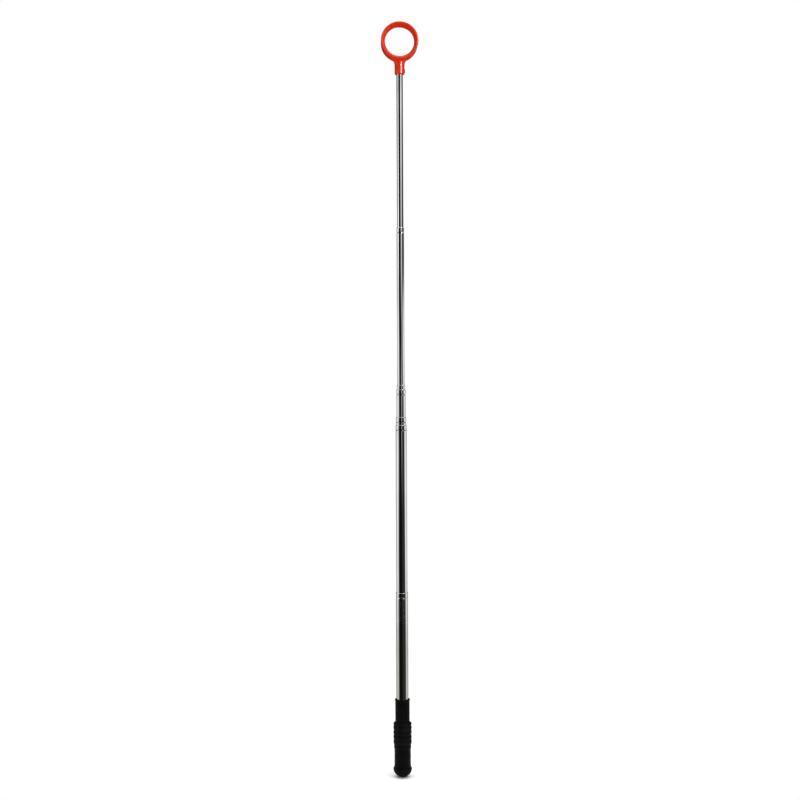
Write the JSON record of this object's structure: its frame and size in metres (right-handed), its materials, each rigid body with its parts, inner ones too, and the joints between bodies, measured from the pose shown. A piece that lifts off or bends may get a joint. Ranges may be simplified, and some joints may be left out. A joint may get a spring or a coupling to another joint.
{
  "type": "golf ball retriever",
  "caption": "Telescopic pole of nested polished steel tubes with an orange snap ring at its tip that picks up a golf ball, and a black ribbed rubber handgrip with a bulb butt.",
  "frame": {"origin": "on the pole's axis at the lowest point of the grip's butt, the pole standing upright as pictured, partly extended", "axes": "+Z along the pole from the butt to the ring, -Y out of the ring's mouth, +X to the right seen from the front, the rivet's side"},
  "size_m": [0.0544, 0.027, 1.0922],
  "materials": {
    "ring_plastic": "glossy orange moulded plastic",
    "rivet_enamel": "dark brown enamelled rivet",
    "stem_steel": "snapped steel pull stem",
    "polished_tube": "polished stainless steel",
    "spring_bronze": "phosphor bronze sheet",
    "plug_plastic": "black moulded plastic",
    "grip_rubber": "black rubber, slightly satin"
  },
  "bodies": {
    "handle": {"tube_7": "polished_tube", "end_plug": "plug_plastic", "grip": "grip_rubber"},
    "springs_6": {"friction_spring_6_left": "spring_bronze", "friction_spring_6_right": "spring_bronze"},
    "section_6": {"tube_6": "polished_tube"},
    "springs_5": {"friction_spring_5_left": "spring_bronze", "friction_spring_5_right": "spring_bronze"},
    "section_5": {"tube_5": "polished_tube"},
    "springs_4": {"friction_spring_4_left": "spring_bronze", "friction_spring_4_right": "spring_bronze"},
    "section_4": {"tube_4": "polished_tube"},
    "springs_3": {"friction_spring_3_left": "spring_bronze", "friction_spring_3_right": "spring_bronze"},
    "section_3": {"tube_3": "polished_tube"},
    "springs_2": {"friction_spring_2_left": "spring_bronze", "friction_spring_2_right": "spring_bronze"},
    "section_2": {"tube_2": "polished_tube"},
    "springs_1": {"friction_spring_1_left": "spring_bronze", "friction_spring_1_right": "spring_bronze"},
    "head_section": {"ring_head": "ring_plastic", "head_rivet": "rivet_enamel", "rivet_mandrel": "stem_steel", "tube_1": "polished_tube"}
  },
  "joints": [
    {"name": "tube_6_slide", "type": "slide", "parent": "handle", "child": "springs_6", "axis": [0, 0, 1], "range_m": [-0.2354, 0]},
    {"name": "tube_6_twist", "type": "hinge", "parent": "springs_6", "child": "section_6", "pos_m": [0, 0, 0.2495], "axis": [0, 0, 1], "continuous": true},
    {"name": "tube_5_slide", "type": "slide", "parent": "section_6", "child": "springs_5", "axis": [0, 0, 1], "range_m": [-0.0054, 0.227]},
    {"name": "tube_5_twist", "type": "hinge", "parent": "springs_5", "child": "section_5", "pos_m": [0, 0, 0.265], "axis": [0, 0, 1], "continuous": true},
    {"name": "tube_4_slide", "type": "slide", "parent": "section_5", "child": "springs_4", "axis": [0, 0, 1], "range_m": [-0.0329, 0.1955]},
    {"name": "tube_4_twist", "type": "hinge", "parent": "springs_4", "child": "section_4", "pos_m": [0, 0, 0.308], "axis": [0, 0, 1], "continuous": true},
    {"name": "tube_3_slide", "type": "slide", "parent": "section_4", "child": "springs_3", "axis": [0, 0, 1], "range_m": [-0.0004, 0.225]},
    {"name": "tube_3_twist", "type": "hinge", "parent": "springs_3", "child": "section_3", "pos_m": [0, 0, 0.3185], "axis": [0, 0, 1], "continuous": true},
    {"name": "tube_2_slide", "type": "slide", "parent": "section_3", "child": "springs_2", "axis": [0, 0, 1], "range_m": [-0.2214, 0]},
    {"name": "tube_2_twist", "type": "hinge", "parent": "springs_2", "child": "section_2", "pos_m": [0, 0, 0.55], "axis": [0, 0, 1], "continuous": true},
    {"name": "tube_1_slide", "type": "slide", "parent": "section_2", "child": "springs_1", "axis": [0, 0, 1], "range_m": [-0.2179, 0]},
    {"name": "tube_1_twist", "type": "hinge", "parent": "springs_1", "child": "head_section", "pos_m": [0, 0, 0.778], "axis": [0, 0, 1], "continuous": true}
  ]
}
